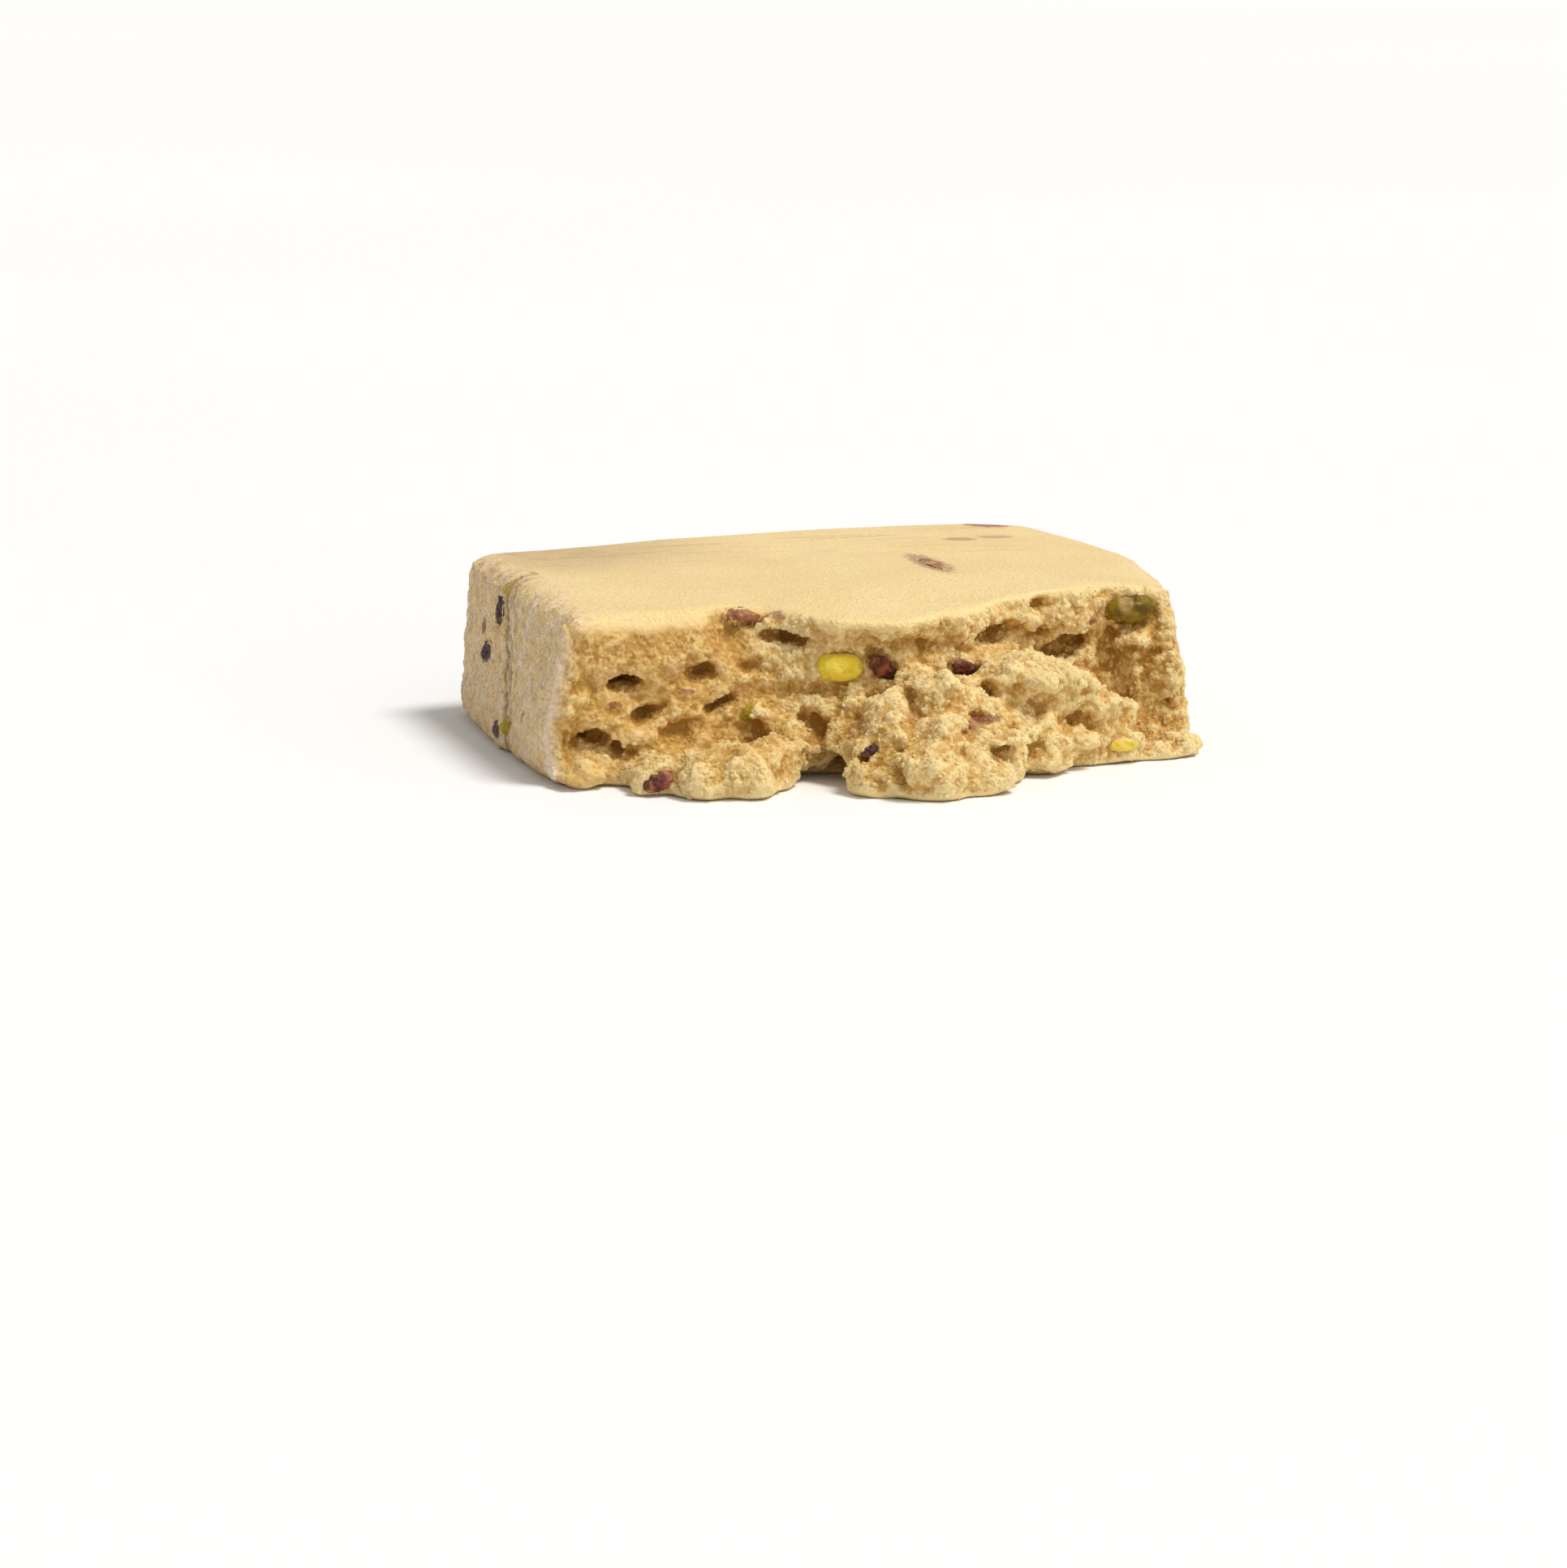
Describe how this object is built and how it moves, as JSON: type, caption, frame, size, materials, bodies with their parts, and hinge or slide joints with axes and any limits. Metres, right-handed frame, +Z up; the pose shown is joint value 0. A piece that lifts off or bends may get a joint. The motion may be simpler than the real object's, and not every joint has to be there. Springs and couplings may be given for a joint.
{
  "type": "nougat bar half",
  "caption": "Half of a chewy nougat bar, torn across: a smooth pale slab with one rough, lumpy crumb end, set with chopped pistachios and cranberries.",
  "frame": {"origin": "on the flat base, under the middle of the bounding box", "axes": "+X along the torn end, +Y from the torn end towards the whole back, +Z up through the thickness"},
  "size_m": [0.0462, 0.0448, 0.0111],
  "materials": {
    "nougat": "pale cream-yellow satin skin, and a dry, granular caramel-beige crumb at the torn end",
    "pistachio": "waxy yellow-green, slightly translucent nut with darker olive skin",
    "cranberry": "moist, wrinkled dark red to purple dried fruit"
  },
  "bodies": {
    "root": {"nougat": "nougat", "pistachio_torn_middle": "pistachio", "pistachio_torn_small": "pistachio", "pistachio_top_right": "pistachio", "pistachio_base_right": "pistachio", "pistachio_left_side": "pistachio", "pistachio_back": "pistachio", "pistachio_right_side": "pistachio", "cranberry_torn_middle": "cranberry", "cranberry_by_lobe": "cranberry", "cranberry_valley": "cranberry", "cranberry_base_left": "cranberry", "cranberry_top": "cranberry", "cranberry_top_edge": "cranberry", "cranberry_left_upper": "cranberry", "cranberry_left_middle": "cranberry", "cranberry_left_low": "cranberry", "cranberry_back": "cranberry", "cranberry_right_side": "cranberry"}
  },
  "joints": []
}
